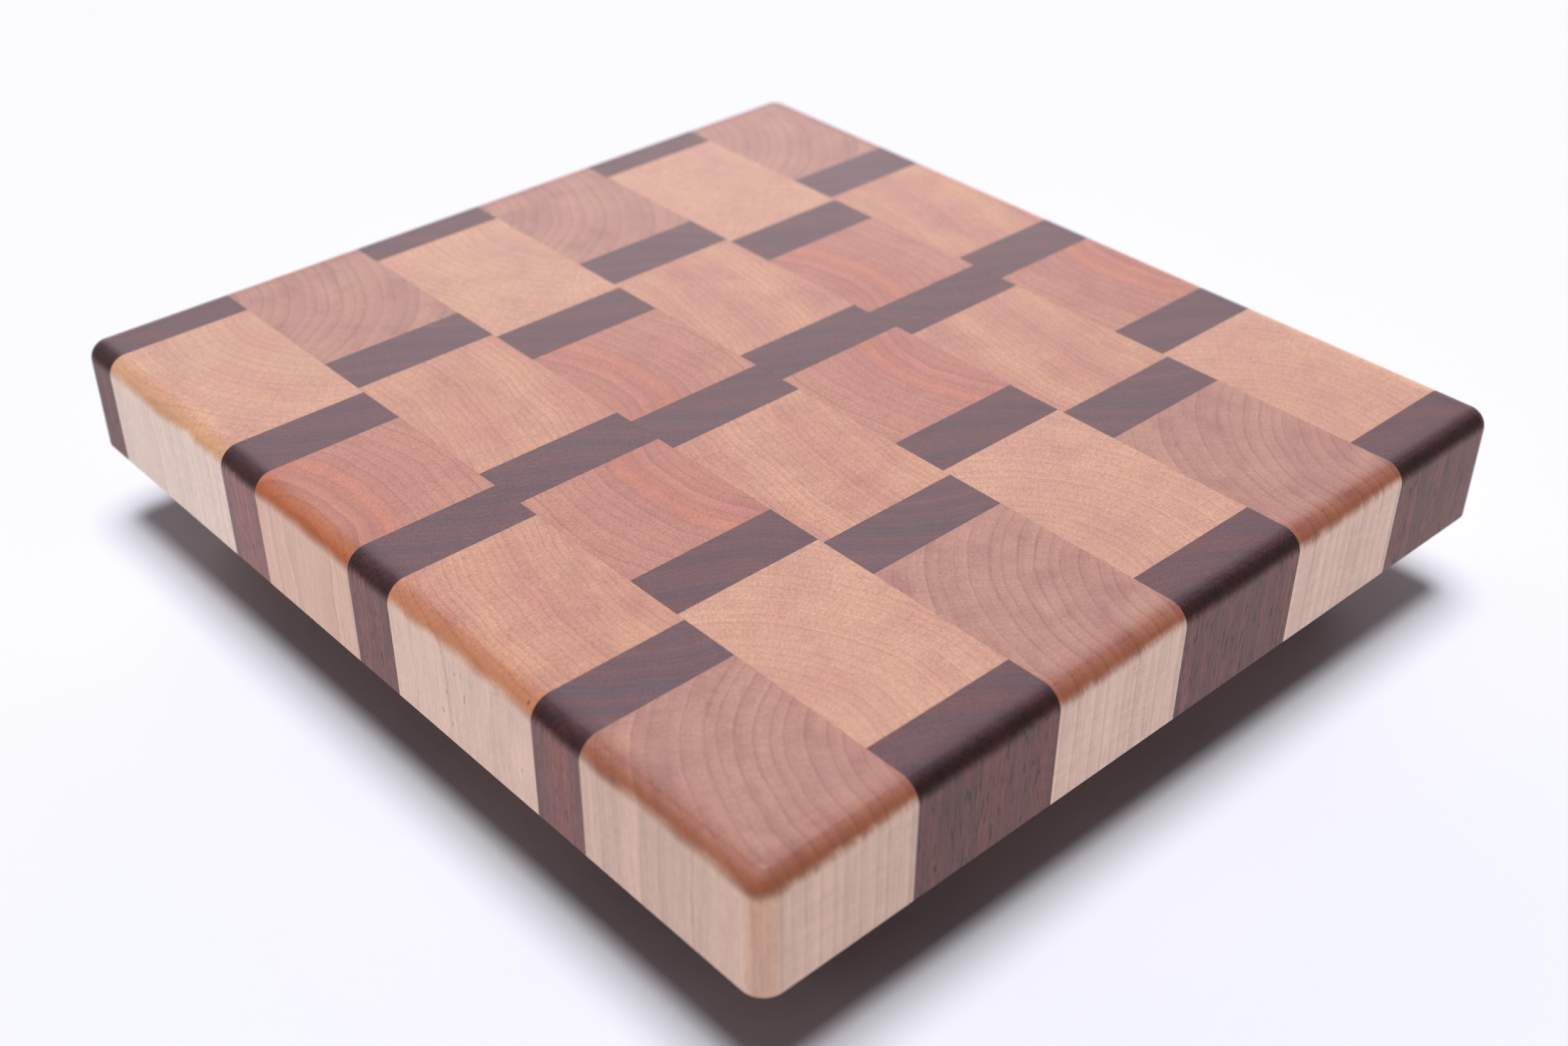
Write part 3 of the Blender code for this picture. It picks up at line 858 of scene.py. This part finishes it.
def build_foot(place):
    axis, lip, _, top = round_part("foot_" + place)
    _, washer_r, _, washer_top = round_part("washer_" + place)
    bore = washer_r + 0.5 * MM
    seat = washer_top + 0.3 * MM
    base = lip - 3.3 * MM
    neck = top - 2.8 * MM
    shoulder = lip - 0.8 * MM
    # rounded mouth of the counterbore
    profile = arc(bore + COUNTERBORE_R, COUNTERBORE_R, COUNTERBORE_R, 180, 270, 6)
    # ribbed tread: a groove from 18% to 82% of each pitch
    tread_in, tread_out = bore + 1.6 * MM, base - 2.4 * MM
    for k in range(RIBS):
        start = tread_in + (tread_out - tread_in) * (k + 0.18) / RIBS
        end = tread_in + (tread_out - tread_in) * (k + 0.82) / RIBS
        profile += [(start, 0.0), (start + RIB_SLOPE, RIB_DEPTH),
                    (end - RIB_SLOPE, RIB_DEPTH), (end, 0.0)]
    # rounded outer edge and sloping side
    profile += arc(base - FOOT_EDGE_R, FOOT_EDGE_R, FOOT_EDGE_R, 270, 360, 10)
    rise = neck - 1.3 * MM - FOOT_EDGE_R
    profile += [(base + (shoulder - base) * k / 6, FOOT_EDGE_R + rise * k / 6)
                for k in range(1, 7)]
    # hollow under the lip, then the lip
    profile += arc(shoulder + 0.75 * MM, neck - 0.5 * MM, 0.8 * MM, 180, 110, 5)
    profile += arc(lip - LIP_R, neck + LIP_R, LIP_R, -60, 0, 5)
    profile += arc(lip - LIP_R, top - LIP_R, LIP_R, 0, 90, 6)
    # screw hole and the ceiling of the counterbore
    profile += [(2.6 * MM, top), (2.6 * MM, seat)]
    profile += arc(bore - 0.5 * MM, seat - 0.5 * MM, 0.5 * MM, 90, 0, 4)
    profile = [(min(radius, lip), max(0.0, min(z, top))) for radius, z in profile]
    foot = spun("rubber_foot_" + place, profile, 96, axis)
    smooth(foot, 38)
    register(foot, "foot_" + place, "rubber")


def build_washer(place):
    axis, radius, bottom, top = round_part("washer_" + place)
    edge = 0.22 * MM
    inner = 2.4 * MM + edge
    outer = radius - edge
    profile = (arc(inner, bottom + edge, edge, 180, 270, 4)
               + arc(outer, bottom + edge, edge, 270, 360, 5)
               + arc(outer, top - edge, edge, 0, 90, 5)
               + arc(inner, top - edge, edge, 90, 180, 4))
    washer = spun("steel_washer_" + place, profile, 64, axis)
    smooth(washer, 40)
    register(washer, "washer_" + place, "steel")


THREAD_R = 2.1 * MM
CORE_R = 1.45 * MM
PITCH = 1.8 * MM
POINT_LENGTH = 5.0 * MM       # taper up to the tip
RUN_IN = 2.0 * MM             # the thread grows to full depth over this length
AROUND = 40                   # vertices round the shank
ROWS_PER_TURN = 10
HEAD_HEIGHT = 3.0 * MM
HEAD_RIM = 0.9 * MM           # upright band above the domed crown
HEAD_EDGE = 0.15 * MM
NECK_R = 1.9 * MM


def threaded_shank(axis, bottom, tip):
    """Shank with a rolled single-start thread, tapering to a gimlet point."""
    rows = int((tip - bottom) / PITCH * ROWS_PER_TURN)
    bm = bmesh.new()
    rings = []
    for i in range(rows + 1):
        z = bottom + (tip - bottom) * i / rows
        taper = max(0.0, min(1.0, (tip - z) / POINT_LENGTH))
        run_in = max(0.0, min(1.0, (z - bottom) / RUN_IN))
        ring = []
        for k in range(AROUND):
            angle = math.tau * k / AROUND
            phase = ((z - bottom) / PITCH - k / AROUND) % 1.0
            crest = max(0.0, 1.0 - abs(phase - 0.5) / 0.22)
            radius = CORE_R + (THREAD_R - CORE_R) * crest * run_in
            radius *= 0.06 + 0.94 * taper ** 0.8
            ring.append(bm.verts.new((axis[0] + radius * math.cos(angle),
                                      axis[1] + radius * math.sin(angle), z)))
        rings.append(ring)
    join_rings(bm, rings)
    return mesh_object("shank", bm)


def cross_recess(axis, bottom):
    """Cutter of two crossed bars that narrow upwards into the head."""
    bm = bmesh.new()
    for turn in (0, 90):
        bar = bmesh.ops.create_cube(bm, size=1.0)["verts"]
        for vert in bar:
            # length, width and height above the head's bottom, at the deep and the open end
            length, width, height = (2.6, 0.7, 1.8) if vert.co.z > 0 else (4.9, 1.15, -0.8)
            vert.co = Vector((vert.co.x * length * MM, vert.co.y * width * MM,
                              bottom + height * MM))
        rotation = Matrix.Rotation(math.radians(turn + 27), 4, "Z")
        bmesh.ops.transform(bm, matrix=Matrix.Translation((*axis, 0)) @ rotation, verts=bar)
    bmesh.ops.recalc_face_normals(bm, faces=bm.faces)
    return mesh_object("recess", bm)


def build_screw(place):
    axis, head_r, bottom, tip = round_part("screw_" + place)
    seat = bottom + HEAD_HEIGHT
    rim = seat - HEAD_RIM
    crown = arc(0.0, 0.0, 1.0, -90, 0, 14)
    profile = [(head_r * radius, rim + (rim - bottom) * z) for radius, z in crown]
    profile += [(head_r, seat - HEAD_EDGE), (head_r - HEAD_EDGE, seat), (NECK_R, seat),
                (NECK_R, seat + 0.6 * MM), (0, seat + 0.6 * MM)]
    screw = spun("steel_screw_" + place, profile, 64, axis)
    recess = cross_recess(axis, bottom)
    boolean(screw, "DIFFERENCE", recess)
    shank = threaded_shank(axis, seat + 0.3 * MM, tip)
    boolean(screw, "UNION", shank)
    bake_modifiers(screw)
    bpy.data.objects.remove(recess)
    bpy.data.objects.remove(shank)
    smooth(screw, 35)
    register(screw, "screw_" + place, "steel")


# ------------------------------------------------------------------------------------
# Studio: a plain white sweep, a large overhead softbox and a bright backdrop behind
# ------------------------------------------------------------------------------------
FLOOR_SEEN = (0.694, 0.700, 0.762)             # floor colour to the camera
FLOOR_BOUNCE = (0.93, 0.925, 0.95)             # floor colour to all other rays
FLOOR_HALF = 6.0
FLOOR_Z = -0.2 * MM
# strength and angle it spans: the lamp panel and its halo on the ceiling
SOFTBOXES = ((3.68, 27.0), (0.22, 80.0))
SOFTBOX_TILT = (-1.4, 0.2)                     # degrees about X and Y
AMBIENT = (0.012, 0.012, 0.013)
BACKDROP = (0.38, 0.36, 0.37)
WINDOW = (1.95, 1.62, 1.60)                    # glow in the middle of the backdrop
HORIZON = (1.60, 1.55, 1.58)                   # low band towards +Y, weaker towards +X

CAMERA_PLACE = (-0.35353, -0.391366, TOP + 0.310902)
CAMERA_RIGHT = Vector((0.73867505, -0.67404344, 0.00496072))
CAMERA_UP = Vector((0.38311143, 0.42587906, 0.81966618))
FOCUS_DISTANCE = 0.541


def build_floor():
    bm = bmesh.new()
    bmesh.ops.create_grid(bm, x_segments=1, y_segments=1, size=FLOOR_HALF)
    bmesh.ops.translate(bm, verts=bm.verts, vec=(0, 0, FLOOR_Z))
    floor = mesh_object("floor", bm)
    material, g = new_material("floor")
    speck = g.noise(g.position_mm(), scale=0.02, detail=2.0)
    seen = g.value("LightPath", output="Is Camera Ray")
    colour = g.mix(seen, FLOOR_BOUNCE, FLOOR_SEEN)
    colour = g.lighten(colour, speck.linear(slope=0.01, start=0.995))
    g.surface(colour, roughness=0.9, IOR=1.0)
    floor.data.materials.append(material)


def build_softboxes():
    for strength, angle in SOFTBOXES:
        sun = bpy.data.lights.new("softbox", "SUN")
        sun.energy = strength
        sun.angle = math.radians(angle)
        lamp = link(bpy.data.objects.new("softbox", sun))
        lamp.rotation_euler = (*[math.radians(tilt) for tilt in SOFTBOX_TILT], 0.0)


def build_world():
    world = bpy.data.worlds.new("studio")
    bpy.context.scene.world = world
    world.use_nodes = True
    g = Graph(world.node_tree)
    direction = g.value("TexCoord", output="Generated")
    up = g.parts(direction)[2]
    # backdrop and window lie on the far side from the camera
    away = g.dot(direction, (0.67, 0.74, 0.0))
    back = g.step(away, off=-0.1, on=0.8) * g.step(up, off=0.85, on=0.2)
    glow = g.step(away, off=0.80, on=1.0) * g.step(up, off=0.75, on=0.30)
    toward_y = g.step(g.dot(direction, (0.20, 0.98, 0.0)), off=0.30, on=0.90)
    toward_x = g.step(g.dot(direction, (0.98, 0.20, 0.0)), off=0.40, on=0.95) * 0.38
    height = g.step(up, off=0.46, on=0.28) * g.step(up, off=0.06, on=0.22, low=0.15)
    low_band = g.math("MAXIMUM", toward_y, toward_x) * height
    colour = g.mix(back, AMBIENT, BACKDROP)
    for light, amount in ((WINDOW, glow), (HORIZON, low_band)):
        added = g.times(light, g.vec(amount, amount, amount))
        colour = g.mix(1.0, colour, added, blend="ADD")
    background = g.node("Background", {"Color": colour})
    g.node("OutputWorld", (background.outputs[0],))


def build_camera():
    camera = bpy.data.cameras.new("camera")
    camera.sensor_fit = "HORIZONTAL"
    camera.sensor_width = 36.0
    camera.lens = 44.4375
    camera.clip_start = 0.01
    camera.clip_end = 50.0
    obj = link(bpy.data.objects.new("camera", camera))
    backward = CAMERA_RIGHT.cross(CAMERA_UP)
    rows = zip(CAMERA_RIGHT, CAMERA_UP, backward, CAMERA_PLACE)
    obj.matrix_world = Matrix((*rows, (0, 0, 0, 1)))
    focus = link(bpy.data.objects.new("focus", None))
    focus.location = obj.matrix_world.translation - backward * FOCUS_DISTANCE
    camera.dof.use_dof = True
    camera.dof.focus_object = focus
    camera.dof.aperture_fstop = 8.4
    bpy.context.scene.camera = obj


def set_view():
    view = bpy.context.scene.view_settings
    view.view_transform = "Standard"
    view.look = "None"
    view.exposure = 0.0
    view.gamma = 1.0


build_blocks()
for place in PLACES:
    build_foot(place)
    build_washer(place)
    build_screw(place)
build_floor()
build_softboxes()
build_world()
build_camera()
set_view()
